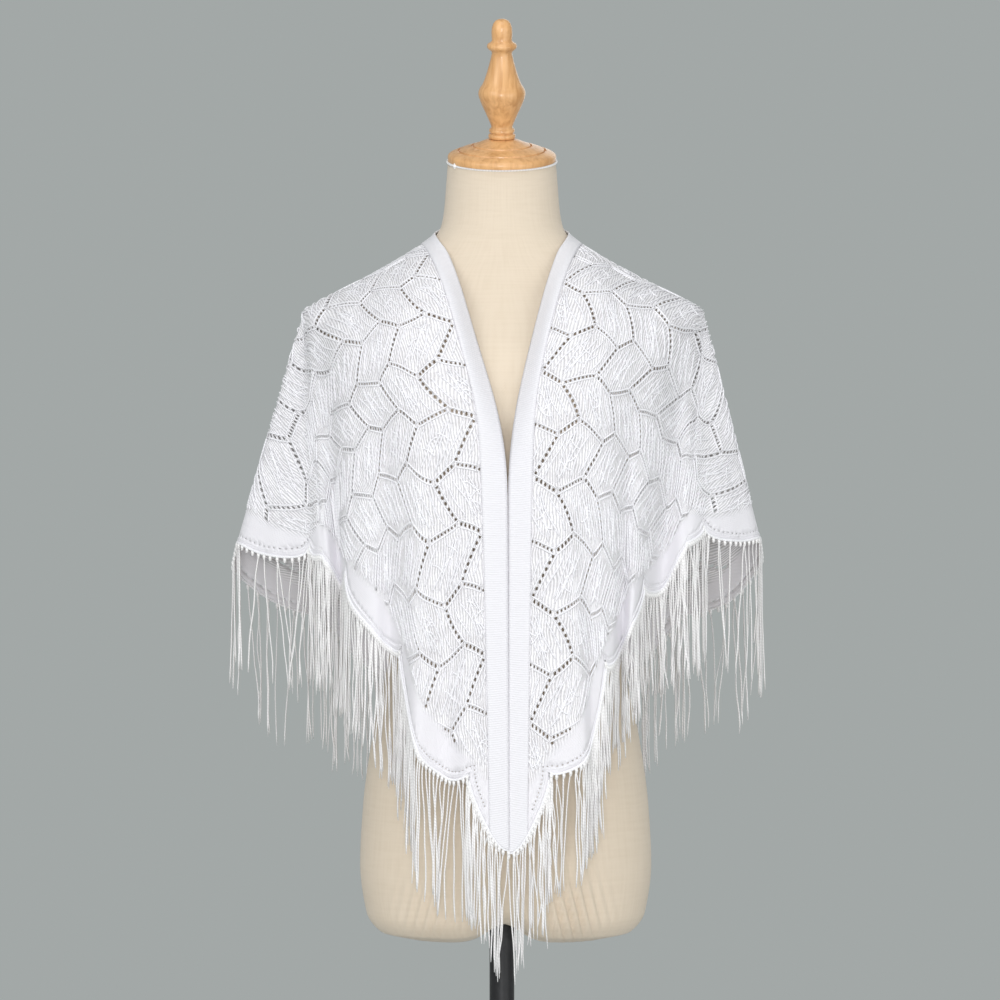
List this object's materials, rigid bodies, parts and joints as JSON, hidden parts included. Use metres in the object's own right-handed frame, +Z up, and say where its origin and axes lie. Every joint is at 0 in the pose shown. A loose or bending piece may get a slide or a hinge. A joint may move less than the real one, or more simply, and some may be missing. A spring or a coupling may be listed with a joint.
{
  "type": "fringed lace shawl on a limbless dress form and stand",
  "caption": "Triangular white lace shawl with a scalloped, fringed hem, open at the front, draped on a padded limbless dress form with a turned neck cap and a round-footed pole stand.",
  "frame": {"origin": "middle of the round foot's flat underside, on the floor", "axes": "+Z up, -Y the way the form's chest and the shawl's open front face, +X to the left side of the form as worn (the viewer's right)"},
  "size_m": [0.5702, 0.36, 1.4401],
  "materials": {
    "white_lace": "knitted lace, soft matt",
    "white_fringe": "silky yarn, soft sheen",
    "linen": "slubby woven linen, matt",
    "honey_wood": "varnished, gloss",
    "black_metal": "satin black"
  },
  "bodies": {
    "root": {"lace_front_right": "white_lace", "lace_front_left": "white_lace", "lace_back": "white_lace", "band_front_right": "white_lace", "band_front_left": "white_lace", "band_neck": "white_lace", "fringe_right": "white_fringe", "fringe_back": "white_fringe", "fringe_left": "white_fringe", "form_torso": "linen", "neck_cap": "honey_wood", "finial": "honey_wood", "stand_base": "black_metal", "stand_pole": "black_metal"}
  },
  "joints": []
}
